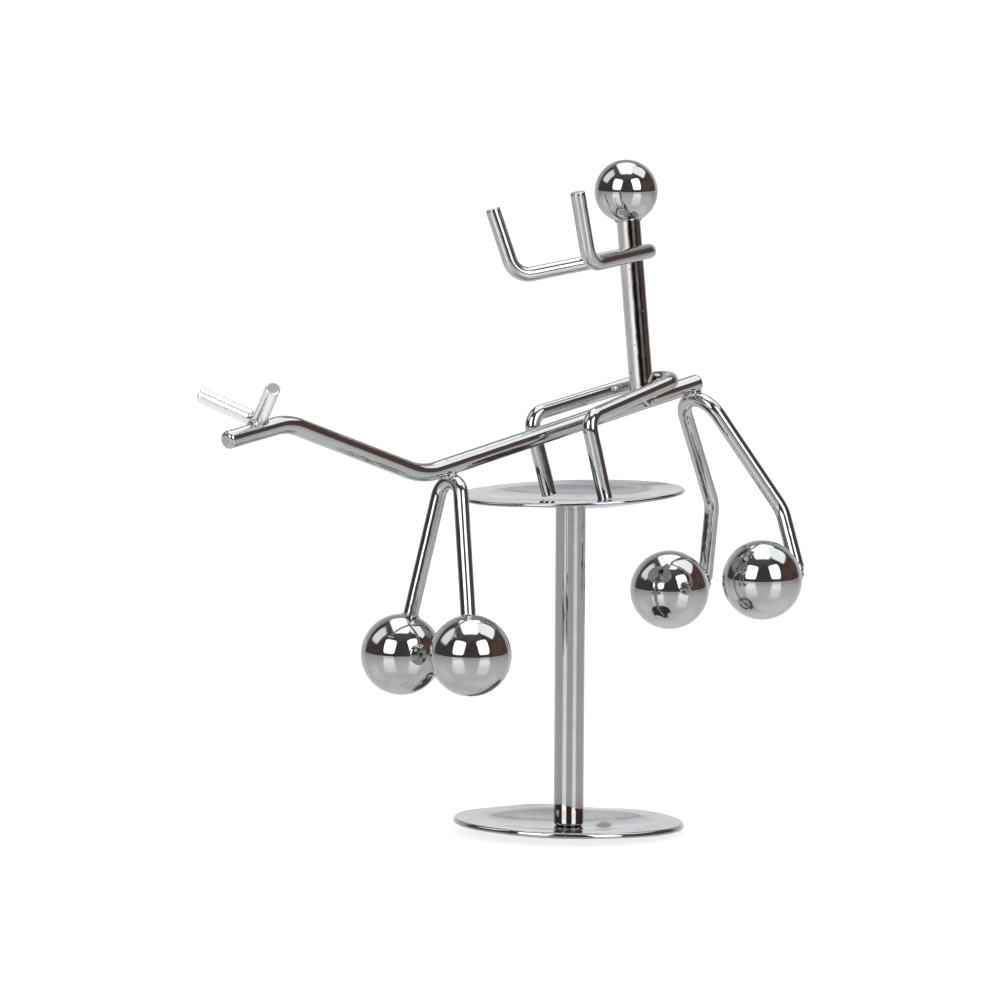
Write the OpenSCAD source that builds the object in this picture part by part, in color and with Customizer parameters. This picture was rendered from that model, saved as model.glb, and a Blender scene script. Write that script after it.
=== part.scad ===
// Balancing ornament: a wire rider on a wire horse that rocks on a round pedestal.
// Millimetres, +Z up. The origin is the centre of the base disc's underside. The horse faces -X,
// and left is the horse's own left, which is -Y.
//
// The figure is laid out upright in a frame of its own: X = 0 is near the line where the feet stand,
// Y = 0 is its middle, and Z = 0 is the level of its soles. place() then leans it over and stands it
// in the top disc's dish, so that its centre of mass is exactly over the line of the feet.

/* [Stand] */
// Diameter of the base disc
base_d = 46.2; // [42:0.2:60]
// Diameter of the top disc
top_d = 45.4; // [42:0.2:60]
// Thickness of the base disc, in its middle and at its rim
base_t = 1.2; // [1:0.1:3]
// Thickness of the top disc, in its middle and at its rim
top_t = 1; // [1:0.1:3]
// Depth of the dish in each disc
dish_depth = 1.1; // [0.2:0.05:1.6]
// Diameter of the dish in each disc
dish_d = 34; // [28:0.5:38]
// Diameter of the flat under each disc, from which it turns up to its rim
disc_foot_d = 28; // [20:0.5:34]
// How far the corners of each disc's rim are rounded off
rim_ease = 0.3; // [0.1:0.05:0.45]
// Diameter of the post
post_d = 6; // [4:0.1:8]
// Length of the post, between the discs
post_len = 64.6; // [55:0.1:90]
// How far the post's two ends are rounded off
post_ease = 0.8; // [0.2:0.1:1.2]

/* [Wire and balls] */
// Diameter of the spine bar
spine_d = 3.6; // [2.8:0.1:4.4]
// Diameter of the wire that the limbs and ears are bent from
limb_d = 3; // [2.2:0.1:3.6]
// Diameter of the torso rod
torso_d = 4.8; // [4:0.1:6]
// Diameter of the rider's head
head_d = 12.7; // [9:0.1:16]
// Diameter of the four counterweight balls
weight_d = 16; // [12:0.1:18]
// How far each welded piece is sunk into the piece that it meets
weld_sink = 0.3; // [0.1:0.05:0.4]
// Diameter of the bead of weld metal where two wires cross
bead_d = 3.4; // [2.4:0.1:4]
// How far a cut wire end is rounded off
end_ease = 0.3; // [0.1:0.05:0.5]

/* [Where the figure stands] */
// Line of the feet, in front of the post's axis
feet_forward = 3.9; // [-4:0.1:5]
// Middle of the feet, to the left of the post's axis
feet_left = 4.1; // [-4:0.1:5]
// Figure's middle at the disc, to the left of the feet's middle
middle_left = 0.8; // [0:0.1:2]
// Lean of the whole figure towards its right side, in degrees
lean = 7.3; // [0:0.1:12]
// Gap that keeps the soles just clear of the top disc
foot_gap = 0.15; // [0.05:0.01:0.25]

/* [Spine bar] */
// Nose, behind the feet (negative: in front)
nose_x = -87; // [-92:0.1:-82]
// Nose, above the soles
nose_z = 16.4; // [12:0.1:22]
// Poll, where the neck turns down into the head, behind the feet
poll_x = -71.4; // [-74:0.1:-68]
// Poll, above the soles
poll_z = 19; // [15:0.1:24]
// Withers, where the neck leaves the back, behind the feet
withers_x = -38.2; // [-42:0.1:-36]
// Withers, above the soles
withers_z = 7; // [5:0.1:9]
// Tail end, behind the feet
tail_x = 36.7; // [34:0.1:40]
// Tail end, above the soles
tail_z = 21.4; // [18:0.1:26]
// Bend radius at the poll
poll_bend_r = 12; // [5:0.5:14]
// Bend radius at the withers
withers_bend_r = 14; // [5:0.5:16]

/* [Ears] */
// Distance from the nose to where the ears are welded
ear_seat = 9; // [7:0.1:10]
// How far the ears are sunk into the head
ear_sink = 0.8; // [0.2:0.1:1]
// Ear tips, forward of the weld
ear_forward = 4.9; // [1:0.1:7]
// Ear tips, out to each side
ear_out = 11; // [7:0.1:13]
// Ear tips, above the weld
ear_rise = 6; // [4:0.1:9]
// Bend radius between the ears
ear_bend_r = 3; // [2:0.1:4]

/* [Front legs] */
// Where the front legs are welded, behind the withers
front_weld_back = 6.8; // [5:0.1:12]
// Balls, forward of where their legs are welded
front_ball_forward = 7.4; // [2:0.1:10]
// Balls' centres, below the soles
front_ball_drop = 28.2; // [24:0.1:34]
// Distance between the balls' centres
front_ball_span = 20.6; // [19:0.1:26]
// Left ball, higher than the right one
front_ball_skew = -1; // [-2:0.1:2]
// Bend radius between the legs
front_bend_r = 3.4; // [2:0.1:4]

/* [Rear legs] */
// Where the rear legs are welded, forward of the tail end
rear_weld_forward = 1.9; // [1.6:0.1:5]
// Hocks, behind the feet
hock_x = 47.5; // [44:0.1:50]
// Hocks, below the soles
hock_drop = 4.4; // [1:0.1:7]
// Distance between the hocks
hock_span = 20.5; // [18:0.1:25]
// Left hock, higher than the right one
hock_skew = -2.1; // [-5:0.1:5]
// Rear balls' centres, behind the feet
rear_ball_x = 37.2; // [34:0.1:39]
// Rear balls' centres, below the soles
rear_ball_drop = 19.5; // [16:0.1:24]
// Distance between the rear balls' centres
rear_ball_span = 27.6; // [22:0.1:32]
// Left rear ball, higher than the right one
rear_ball_skew = 0.8; // [-2:0.1:2]
// Leg's weld on the back of each rear ball, up from its middle, in degrees
rear_weld_angle = 8; // [0:1:25]
// Leg's weld on the back of each rear ball, round from its middle to the left, in degrees
rear_weld_swing = 6; // [0:1:20]
// Bend radius between the legs
rear_bend_r = 5.2; // [3:0.1:6]
// Bend radius at the hocks
hock_bend_r = 6; // [3:0.1:8]

/* [Torso and arms] */
// Torso's axis, behind the feet
torso_x = 21.3; // [18:0.1:24]
// Centre of the head, above the soles
head_z = 60.6; // [56:0.1:68]
// How far the torso's foot is let down round the spine
torso_seat = 0.8; // [0.3:0.1:1.2]
// Shoulders, where the arms pass behind the torso, above the soles
shoulder_z = 48.3; // [45:0.1:50]
// Elbows, forward of the torso's axis
elbow_forward = 21.4; // [17:0.1:25]
// Elbows, above the soles
elbow_z = 45.4; // [41:0.1:47]
// Left elbow, higher than the right one
elbow_skew = 0.8; // [-2:0.1:2]
// Distance between the elbows
elbow_span = 22.4; // [18:0.1:28]
// Hand tips, forward of the elbows
hand_forward = 3.2; // [0:0.1:6]
// Hand tips, above the elbows
hand_rise = 14.2; // [10:0.1:20]
// Distance between the hand tips
hand_span = 25.6; // [20:0.1:32]
// Left hand, higher than the right one
hand_skew = 1.3; // [-3:0.1:3]
// Bend radius at the elbows
elbow_bend_r = 4; // [2.2:0.1:5]

/* [Rider's legs] */
// Back of the hips, behind the torso's axis
hip_back = 6.3; // [5:0.1:8]
// Bend radius of the hips
hip_bend_r = 4.6; // [3.5:0.1:5.5]
// Knees, forward of the feet
knee_forward = 1.5; // [0:0.1:4]
// Knees, above the soles
knee_z = 16.5; // [14:0.1:19]
// Distance between the knees
knee_span = 17.2; // [15:0.1:20]
// Left knee, higher than the right one
knee_skew = -1.5; // [-3:0.1:3]
// Bend radius at the knees
knee_bend_r = 3; // [2.2:0.1:4]
// Distance between the soles' lowest points
foot_span = 16.6; // [14:0.1:18]

/* [Hidden] */
$fn = 96;

LEFT = -1;
RIGHT = 1;

limb_r = limb_d / 2;
spine_r = spine_d / 2;
torso_r = torso_d / 2;
head_r = head_d / 2;
weight_r = weight_d / 2;
bead_r = bead_d / 2;
// Height of the top disc's surface in the middle of its dish
stand_h = base_t + post_len + top_t;
// How much thicker the wire is in its bends
bend_swell = 0.01;
// How far a straight runs into a bend
bend_overlap = 0.06;
// Flats that the dish's curve, and each rounded corner, are turned in
dish_steps = 10;
ease_steps = 4;

// Vectors

function unit(v) = v / norm(v);
function along(from, to, distance) = from + unit(to - from) * distance;
function turn(before, at, after) = acos(unit(at - before) * unit(after - at));
function lower(height, skew, side) = height - side * skew / 2;

// A point at a distance from one point towards another in the XZ plane, then out by rise, square to them
function beside(from, to, distance, rise) =
    let (way = unit(to - from), up = way[0] > 0 ? 1 : -1)
    from + way * distance + up * rise * [-way[2], 0, way[0]];

// The disc's dish

dish_ball_r = (dish_d * dish_d / 4 + dish_depth * dish_depth) / (2 * dish_depth);

// Height of a disc's surface over the middle of its dish, at a distance from its centre
function dish_rise(distance) =
    distance >= dish_d / 2 ? dish_depth
    : dish_ball_r - sqrt(dish_ball_r * dish_ball_r - distance * distance);

// A quarter circle of points about a centre, for a rounded corner
function corner(centre, ease, from) =
    [for (i = [0 : ease_steps])
        let (angle = from + 90 * i / ease_steps)
        centre + ease * [cos(angle), sin(angle)]
    ];

// Bent wire: straights and bends that run tangent to each other

function bend_setback(points, bends, i) =
    i == 0 || i == len(points) - 1 ? 0
    : bends[i - 1] * tan(turn(points[i - 1], points[i], points[i + 1]) / 2);

function bend_inward(before, at, after) =
    let (way = unit(at - before), next = unit(after - at))
    unit(next - way * (next * way));

function bend_centre(before, at, after, bend_r) =
    at - unit(at - before) * bend_r * tan(turn(before, at, after) / 2)
    + bend_inward(before, at, after) * bend_r;

// Turns the local axes into three given ones, with the origin at a given point
module on_axes(x_axis, y_axis, z_axis, origin) {
    multmatrix([
        [x_axis[0], y_axis[0], z_axis[0], origin[0]],
        [x_axis[1], y_axis[1], z_axis[1], origin[1]],
        [x_axis[2], y_axis[2], z_axis[2], origin[2]]
    ])
        children();
}

// Draws its children with +Z along a line, from the line's start
module along_line(from, to) {
    way = unit(to - from);
    across = unit(abs(way[2]) < 0.9 ? cross([0, 0, 1], way) : cross([0, 1, 0], way));
    on_axes(across, cross(way, across), way, from)
        children();
}

// A straight rod, with its end at to rounded off by ease
module rod(from, to, rod_r, ease = 0) {
    length = norm(to - from);
    along_line(from, to)
        rotate_extrude()
            polygon([
                [0, 0], [rod_r, 0], [rod_r, length - ease], [rod_r - ease, length], [0, length]
            ]);
}

module bend(before, at, after, bend_r, wire_r) {
    way = unit(at - before);
    inward = bend_inward(before, at, after);
    on_axes(-inward, way, cross(way, inward), bend_centre(before, at, after, bend_r))
        rotate_extrude(angle = turn(before, at, after))
            translate([bend_r, 0])
                circle(r = wire_r + bend_swell);
}

// A wire through points, with a bend at each inner one, and both cut ends rounded off by ease.
// The straights run a little way into the bends, which are a hair thicker.
module bent_wire(points, bends, wire_r, ease = 0) {
    last = len(points) - 1;
    for (i = [0 : last - 1]) {
        start = i == 0 ? 0 : bend_setback(points, bends, i) - bend_overlap;
        end = i == last - 1 ? 0 : bend_setback(points, bends, i + 1) - bend_overlap;
        from = along(points[i], points[i + 1], start);
        to = along(points[i + 1], points[i], end);
        if (i == 0)
            rod(to, from, wire_r, ease);
        else
            rod(from, to, wire_r, i == last - 1 ? ease : 0);
    }
    for (i = [1 : last - 1])
        bend(points[i - 1], points[i], points[i + 1], bends[i - 1], wire_r);
}

// Corner of a wire that is bent round at a weld and runs on both sides of it to ends that lie span apart.
// The bend's own outermost point is the weld, and middle is the point midway between the two ends.
function fork_corner(weld, middle, span, bend_r) =
    let (
        way = unit(middle - weld),
        centre = weld + way * bend_r,
        reach = norm(middle - centre),
        spread = atan2(span / 2, reach) - asin(bend_r / norm([reach, span / 2]))
    )
    centre - way * bend_r / sin(spread);

// Mass: each piece of wire or ball as [volume, centroid], for a wire the same way as bent_wire draws it

function rod_mass(from, to, rod_r) = [PI * rod_r * rod_r * norm(to - from), (from + to) / 2];

function bend_mass(before, at, after, bend_r, wire_r) =
    let (
        half = turn(before, at, after) / 2,
        half_length = bend_r * half * PI / 180,
        centre = bend_centre(before, at, after, bend_r)
    )
    [
        PI * wire_r * wire_r * 2 * half_length,
        along(centre, at, bend_r * bend_r * sin(half) / half_length)
    ];

function wire_mass(points, bends, wire_r) =
    let (last = len(points) - 1)
    concat(
        [for (i = [0 : last - 1]) rod_mass(
            along(points[i], points[i + 1], bend_setback(points, bends, i)),
            along(points[i + 1], points[i], bend_setback(points, bends, i + 1)),
            wire_r
        )],
        [for (i = [1 : last - 1]) bend_mass(
            points[i - 1], points[i], points[i + 1], bends[i - 1], wire_r
        )]
    );

function ball_mass(centre, ball_r) = [4 / 3 * PI * pow(ball_r, 3), centre];

function total_volume(masses) = [for (m = masses) m[0]] * [for (m = masses) 1];
function total_moment(masses) = [for (m = masses) m[0]] * [for (m = masses) m[1]];

// How far from a ball's centre a rod's flat end lies, for its rim to be sunk into the ball
function seat_distance(ball_r, rod_r) = sqrt(ball_r * ball_r - rod_r * rod_r) - weld_sink;

// The spine bar

nose = [nose_x, 0, nose_z];
poll = [poll_x, 0, poll_z];
withers = [withers_x, 0, withers_z];
tail = [tail_x, 0, tail_z];
spine_points = [nose, poll, withers, tail];
spine_bends = [poll_bend_r, withers_bend_r];
back_slope = atan2(tail_z - withers_z, tail_x - withers_x);
wire_on_spine = spine_r + limb_r - weld_sink;

// Height of the spine's axis along the back
function back_z(x) = withers_z + (x - withers_x) * tan(back_slope);

// Ears

ear_half_turn = 90 - atan2(ear_out, norm([ear_forward, ear_rise]));
ear_bend_lift = ear_bend_r * (1 / cos(ear_half_turn) - 1);
ear_corner = beside(nose, poll, ear_seat, spine_r + limb_r - ear_sink - ear_bend_lift);
ear_weld = beside(nose, poll, ear_seat, spine_r);
function ear_tip(side) = ear_corner + [-ear_forward, side * ear_out, ear_rise];
ear_points = [ear_tip(LEFT), ear_corner, ear_tip(RIGHT)];
ear_bends = [ear_bend_r];

// Front legs

front_wire_top = beside(withers, tail, front_weld_back, -wire_on_spine);
front_weld = beside(withers, tail, front_weld_back, -spine_r);
front_ball_x = front_wire_top[0] - front_ball_forward;
front_corner = fork_corner(
    front_wire_top, [front_ball_x, 0, -front_ball_drop], front_ball_span, front_bend_r
);
function front_ball(side) =
    [front_ball_x, side * front_ball_span / 2, lower(-front_ball_drop, front_ball_skew, side)];
function front_leg_end(side) =
    along(front_ball(side), front_corner, seat_distance(weight_r, limb_r));
front_leg_points = [front_leg_end(LEFT), front_corner, front_leg_end(RIGHT)];
front_leg_bends = [front_bend_r];

// Rear legs

rear_wire_top = beside(tail, withers, rear_weld_forward, -wire_on_spine);
rear_weld = beside(tail, withers, rear_weld_forward, -spine_r);
rear_corner = fork_corner(rear_wire_top, [hock_x, 0, -hock_drop], hock_span, rear_bend_r);
rear_ball_weld_way = [
    cos(rear_weld_angle) * cos(rear_weld_swing),
    LEFT * cos(rear_weld_angle) * sin(rear_weld_swing),
    sin(rear_weld_angle)
];
function hock(side) = [hock_x, side * hock_span / 2, lower(-hock_drop, hock_skew, side)];
function rear_ball(side) =
    [rear_ball_x, side * rear_ball_span / 2, lower(-rear_ball_drop, rear_ball_skew, side)];
function rear_leg_end(side) =
    rear_ball(side) + rear_ball_weld_way * (weight_r + limb_r - weld_sink);
function rear_ball_weld(side) = rear_ball(side) + rear_ball_weld_way * weight_r;
rear_leg_points = [rear_leg_end(LEFT), hock(LEFT), rear_corner, hock(RIGHT), rear_leg_end(RIGHT)];
rear_leg_bends = [hock_bend_r, rear_bend_r, hock_bend_r];

// Torso, head and arms

torso_foot = [torso_x, 0, back_z(torso_x) + spine_r / cos(back_slope) - torso_seat];
torso_top = [torso_x, 0, head_z - seat_distance(head_r, torso_r)];
head_centre = [torso_x, 0, head_z];
shoulder_bend_r = torso_r + limb_r - weld_sink;
shoulder = [torso_x + shoulder_bend_r, 0, shoulder_z];
elbow_x = torso_x - elbow_forward;
shoulder_corner = fork_corner(shoulder, [elbow_x, 0, elbow_z], elbow_span, shoulder_bend_r);
function elbow(side) = [elbow_x, side * elbow_span / 2, lower(elbow_z, elbow_skew, side)];
function hand(side) =
    [elbow_x - hand_forward, side * hand_span / 2, lower(elbow_z + hand_rise, hand_skew, side)];
arm_points = [hand(LEFT), elbow(LEFT), shoulder_corner, elbow(RIGHT), hand(RIGHT)];
arm_bends = [elbow_bend_r, shoulder_bend_r, elbow_bend_r];

// Rider's legs, down to the knees

hips_x = torso_x + hip_back;
hips = [hips_x, 0, back_z(hips_x) + wire_on_spine / cos(back_slope)];
hips_weld = [hips_x, 0, back_z(hips_x) + spine_r / cos(back_slope)];
hips_corner = fork_corner(hips, [-knee_forward, 0, knee_z], knee_span, hip_bend_r);
function knee(side) = [-knee_forward, side * knee_span / 2, lower(knee_z, knee_skew, side)];
rider_leg_bends = [knee_bend_r, hip_bend_r, knee_bend_r];

// Balance: the feet stand on the line that the centre of mass is over. The shins' lower ends move with
// the feet, so half of their volume moves too.

function upright_foot(side) = [limb_r, side * foot_span / 2, 0];
upright_leg_points = [
    upright_foot(LEFT), knee(LEFT), hips_corner, knee(RIGHT), upright_foot(RIGHT)
];
figure_masses = concat(
    wire_mass(spine_points, spine_bends, spine_r),
    wire_mass(ear_points, ear_bends, limb_r),
    wire_mass(front_leg_points, front_leg_bends, limb_r),
    wire_mass(rear_leg_points, rear_leg_bends, limb_r),
    wire_mass(arm_points, arm_bends, limb_r),
    wire_mass(upright_leg_points, rider_leg_bends, limb_r),
    [rod_mass(torso_foot, torso_top, torso_r), ball_mass(head_centre, head_r)],
    [for (side = [LEFT, RIGHT]) ball_mass(front_ball(side), weight_r)],
    [for (side = [LEFT, RIGHT]) ball_mass(rear_ball(side), weight_r)]
);
shin_volume = rod_mass(upright_foot(LEFT), knee(LEFT), limb_r)[0]
    + rod_mass(upright_foot(RIGHT), knee(RIGHT), limb_r)[0];
balance_x = total_moment(figure_masses)[0] / (total_volume(figure_masses) - shin_volume / 2);

// Standing the figure on the disc

// Lowest point of each sole, just over the top disc
function sole(side) =
    let (y = -feet_left + side * foot_span / 2)
    [-feet_forward, y, stand_h + dish_rise(norm([feet_forward, y])) + foot_gap];

sole_level = (sole(LEFT)[2] + sole(RIGHT)[2]) / 2;
middle_y = -feet_left - middle_left;

function placed(p) = [
    p[0] - balance_x - feet_forward,
    middle_y + p[1] * cos(lean) + p[2] * sin(lean),
    sole_level - p[1] * sin(lean) + p[2] * cos(lean)
];

module place() {
    translate([-balance_x - feet_forward, middle_y, sole_level])
        rotate([-lean, 0, 0])
            children();
}

// The square-cut end of a shin leans, so its axis ends beside and above its lowest point
function sole_to_axis(way) = unit([0, 0, 1] - way * way[2]) * limb_r;

// Each pass works the end out again from the last one, and settles at once
function shin_end(side, guess, passes = 3) =
    passes == 0 ? guess
    : shin_end(side, sole(side) + sole_to_axis(unit(guess - placed(knee(side)))), passes - 1);

function foot(side) = shin_end(side, sole(side));
rider_leg_points = [
    foot(LEFT), placed(knee(LEFT)), placed(hips_corner), placed(knee(RIGHT)), foot(RIGHT)
];

// Solids, before neighbours are cut away

// A turned disc: dished on top, flat under its middle, and turned up from there to a thin rim
module dished_disc(disc_d, thickness) {
    rim_r = disc_d / 2 - rim_ease;
    dish = [for (i = [dish_steps : -1 : 0])
        let (r = dish_d / 2 * i / dish_steps)
        [r, thickness + dish_rise(r)]
    ];
    lower_corner = corner([rim_r, dish_depth + rim_ease], rim_ease, -90);
    upper_corner = corner([rim_r, dish_depth + thickness - rim_ease], rim_ease, 0);
    rotate_extrude()
        polygon(concat([[0, 0], [disc_foot_d / 2, 0]], lower_corner, upper_corner, dish));
}

module spine() {
    bent_wire(spine_points, spine_bends, spine_r, end_ease);
}

module torso_rod() {
    rod(torso_foot, torso_top, torso_r);
}

module front_wire() {
    bent_wire(front_leg_points, front_leg_bends, limb_r);
}

module rear_wire() {
    bent_wire(rear_leg_points, rear_leg_bends, limb_r);
    for (side = [LEFT, RIGHT])
        bead(rear_ball_weld(side));
}

module bead(at) {
    translate(at)
        sphere(r = bead_r);
}

// Nodes

module base_disc() {
    color("silver")
        dished_disc(base_d, base_t);
}

module post() {
    color("lightgray")
        difference() {
            translate([0, 0, base_t])
                rotate_extrude()
                    polygon(concat(
                        [[0, 0]],
                        corner([post_d / 2 - post_ease, post_ease], post_ease, -90),
                        corner([post_d / 2 - post_ease, post_len - post_ease], post_ease, 0),
                        [[0, post_len]]
                    ));
            base_disc();
        }
}

module top_disc() {
    color("silver")
        translate([0, 0, base_t + post_len])
            dished_disc(top_d, top_t);
}

module spine_bar() {
    color("gainsboro")
        place()
            spine();
}

module ears() {
    color("lightgray")
        place()
            difference() {
                union() {
                    bent_wire(ear_points, ear_bends, limb_r, end_ease);
                    bead(ear_weld);
                }
                spine();
            }
}

module front_legs() {
    color("lightgray")
        place()
            difference() {
                union() {
                    front_wire();
                    bead(front_weld);
                }
                spine();
            }
}

module rear_legs() {
    color("lightgray")
        place()
            difference() {
                union() {
                    rear_wire();
                    bead(rear_weld);
                }
                spine();
            }
}

module front_ball_seated(side) {
    color("silver")
        place()
            difference() {
                translate(front_ball(side))
                    sphere(r = weight_r);
                front_wire();
            }
}

module rear_ball_seated(side) {
    color("silver")
        place()
            difference() {
                translate(rear_ball(side))
                    sphere(r = weight_r);
                rear_wire();
            }
}

module front_left_ball() {
    front_ball_seated(LEFT);
}

module front_right_ball() {
    front_ball_seated(RIGHT);
}

module rear_left_ball() {
    rear_ball_seated(LEFT);
}

module rear_right_ball() {
    rear_ball_seated(RIGHT);
}

module rider_legs() {
    color("lightgray")
        difference() {
            union() {
                bent_wire(rider_leg_points, rider_leg_bends, limb_r);
                place()
                    bead(hips_weld);
            }
            place()
                spine();
        }
}

module torso() {
    color("gainsboro")
        place()
            difference() {
                torso_rod();
                spine();
            }
}

module arms() {
    color("lightgray")
        place()
            difference() {
                bent_wire(arm_points, arm_bends, limb_r, end_ease);
                torso_rod();
            }
}

module head_ball() {
    color("silver")
        place()
            difference() {
                translate(head_centre)
                    sphere(r = head_r);
                torso_rod();
            }
}

base_disc();
post();
top_disc();
spine_bar();
ears();
front_legs();
rear_legs();
front_left_ball();
front_right_ball();
rear_left_ball();
rear_right_ball();
rider_legs();
torso();
arms();
head_ball();
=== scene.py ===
"""Looks for a balancing ornament: a chromed wire horse and rider that rock on a round pedestal.

Blender works in metres, but the object's sizes below are in millimetres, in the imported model's own frame:
+Z up, the origin under the base disc's centre, the horse facing -X, and its left side at -Y. mesh_piece()
turns millimetres into metres.
"""

import math
import random

import bmesh
import bpy
from mathutils import Matrix, Vector, noise


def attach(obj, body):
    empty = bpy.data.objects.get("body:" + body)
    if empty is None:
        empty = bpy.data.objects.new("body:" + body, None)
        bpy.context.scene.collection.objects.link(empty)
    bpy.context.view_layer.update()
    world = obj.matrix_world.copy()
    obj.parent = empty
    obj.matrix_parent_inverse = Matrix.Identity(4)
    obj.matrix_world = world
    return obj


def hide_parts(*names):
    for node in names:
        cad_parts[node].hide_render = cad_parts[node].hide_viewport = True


MM = 0.001
CAMERA_AZIMUTH = math.radians(42.0)
PICTURE_RIGHT = Vector((math.cos(CAMERA_AZIMUTH), -math.sin(CAMERA_AZIMUTH), 0))
PICTURE_AWAY = Vector((math.sin(CAMERA_AZIMUTH), math.cos(CAMERA_AZIMUTH), 0))
LEFT = -1
RIGHT = 1
SIDES = (LEFT, RIGHT)
SIDE_NAMES = {LEFT: "left", RIGHT: "right"}

# Stand
BASE_R, BASE_T = 23.1, 1.2
TOP_R, TOP_T = 22.7, 1.0
DISH_R = 17.0
DISH_DEPTH = 1.1
# The flat of a disc's underside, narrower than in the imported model, so that no lip shows below the rim
DISC_FOOT_R = 10.5
# Each rim: its thickness, and how far in and how high its upper and its lower edges are rounded
BASE_RIM = (1.05, (0.55, 0.8), (0.15, 0.2))
TOP_RIM = (0.75, (0.35, 0.45), (0.2, 0.28))
# How far each rim stands up towards the picture's right, away from the camera, and all round
BASE_BENT = (-0.5, -0.3, 0.19)
TOP_BENT = (0.78, 0.18, 0.4)
# Bumps of each rim: degrees round from the picture's right, and rise. BUMP_REACH is their width in degrees
BASE_BUMPS = ((47, 0.14), (77, -0.3), (104, 0.26), (134, -0.12))
TOP_BUMPS = ((225, -0.1),)
BUMP_REACH = 16.0
POST_R = 3.0
POST_LEN = 64.6
POST_EASE = 0.8
POST_TOP = BASE_T + POST_LEN
STAND_H = POST_TOP + TOP_T

# Stock
SPINE_R = 1.8
LIMB_R = 1.5
TORSO_R = 2.4
HEAD_R = 6.35
WEIGHT_R = 8.0
WELD_SINK = 0.3

# Where the figure stands: its feet's line, its middle and its lean
FEET_X = -3.9
FEET_Y = -4.1
FOOT_SPAN = 16.6
MIDDLE_Y = -4.9
LEAN = math.radians(7.3)
FOOT_GAP = 0.15
BALANCE_X = 0.5395


# Shape helpers


def unit(v):
    """A direction of length 1."""
    return v.normalized()


def along(start, end, distance):
    """The point at a distance from start towards end."""
    return start + unit(end - start) * distance


def dish_rise(distance):
    """Height of a disc's surface over the middle of its dish, at a distance from the disc's centre."""
    ball_r = (DISH_R**2 + DISH_DEPTH**2) / (2 * DISH_DEPTH)
    if distance >= DISH_R:
        return DISH_DEPTH
    return ball_r - math.sqrt(ball_r**2 - distance**2)


def sole(side):
    """Lowest point of a sole, just over the top disc."""
    y = FEET_Y + side * FOOT_SPAN / 2
    return Vector((FEET_X, y, STAND_H + dish_rise(math.hypot(FEET_X, y)) + FOOT_GAP))


SOLE_LEVEL = (sole(LEFT)[2] + sole(RIGHT)[2]) / 2


def stood(p):
    """A point of the upright figure, leaned over and stood in the top disc's dish."""
    return Vector(
        (
            p[0] - BALANCE_X + FEET_X,
            MIDDLE_Y + p[1] * math.cos(LEAN) + p[2] * math.sin(LEAN),
            SOLE_LEVEL - p[1] * math.sin(LEAN) + p[2] * math.cos(LEAN),
        )
    )


def lower(height, skew, side):
    """Height of one side, where the left side is higher than the right by skew."""
    return height - side * skew / 2


def beside(start, end, distance, rise):
    """A point along a line in the XZ plane, then out by rise, square to the line."""
    way = unit(end - start)
    up = 1 if way[0] > 0 else -1
    return start + way * distance + up * rise * Vector((-way[2], 0, way[0]))


def fork_corner(weld, middle, span, bend_r):
    """Corner of a wire that is bent round at a weld and runs to ends that lie span apart."""
    way = unit(middle - weld)
    centre = weld + way * bend_r
    reach = (middle - centre).length
    spread = math.atan2(span / 2, reach) - math.asin(bend_r / math.hypot(reach, span / 2))
    return centre - way * bend_r / math.sin(spread)


# Mesh helpers


def mesh_piece(name, work, material, body, node=None):
    """Turns a bmesh in millimetres into a smooth piece in metres, on a body and in place of a node."""
    bmesh.ops.scale(work, vec=(MM, MM, MM), verts=work.verts)
    bmesh.ops.recalc_face_normals(work, faces=work.faces)
    mesh = bpy.data.meshes.new(name)
    work.to_mesh(mesh)
    work.free()
    mesh.shade_smooth()
    mesh.materials.append(material)
    piece = bpy.data.objects.new(name, mesh)
    bpy.context.scene.collection.objects.link(piece)
    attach(piece, body)
    if node:
        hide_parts(node)
    return piece


def skin_rings(work, rings):
    """Joins rings of points, each as long as the next, with quads, and closes both ends with fans."""
    loops = [[work.verts.new(p) for p in ring] for ring in rings]
    for low, high in zip(loops, loops[1:]):
        for i in range(len(low)):
            j = (i + 1) % len(low)
            work.faces.new((low[i], low[j], high[j], high[i]))
    for loop in (loops[0], loops[-1]):
        hub = work.verts.new(sum((v.co for v in loop), Vector()) / len(loop))
        for i in range(len(loop)):
            work.faces.new((loop[i], loop[(i + 1) % len(loop)], hub))


def straight_samples(start, end, gap):
    """Points and directions along a straight, without its end."""
    way = end - start
    count = max(2, math.ceil(way.length / gap))
    return [(start + way * k / count, unit(way)) for k in range(count)]


def wire_line(points, bends, gap=0.45):
    """The centre line of a bent wire as points and directions: straights, and bends tangent to them."""
    line = []
    start = points[0]
    for before, at, after, bend_r in zip(points, points[1:], points[2:], bends):
        way = unit(at - before)
        onward = unit(after - at)
        turn = way.angle(onward)
        setback = bend_r * math.tan(turn / 2)
        inward = unit(onward - way * onward.dot(way))
        entry = at - way * setback
        centre = entry + inward * bend_r
        line += straight_samples(start, entry, gap)
        count = max(8, math.ceil(bend_r * turn / gap))
        for k in range(count):
            angle = turn * k / count
            line.append(
                (
                    centre + bend_r * (way * math.sin(angle) - inward * math.cos(angle)),
                    way * math.cos(angle) + inward * math.sin(angle),
                )
            )
        start = at + onward * setback
    line += straight_samples(start, points[-1], gap)
    line.append((points[-1], unit(points[-1] - points[-2])))
    return line


# Rings across the flat of a cut end, as shares of its radius, and rings round its edge
CAP_RINGS = (0.35, 0.75)
EASE_STEPS = 6
# How much farther a rounded edge reaches along the wire than across it, and how much of the wire it replaces
EASE_REACH = 1.2
EASE_CLEAR = 1.3


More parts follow.
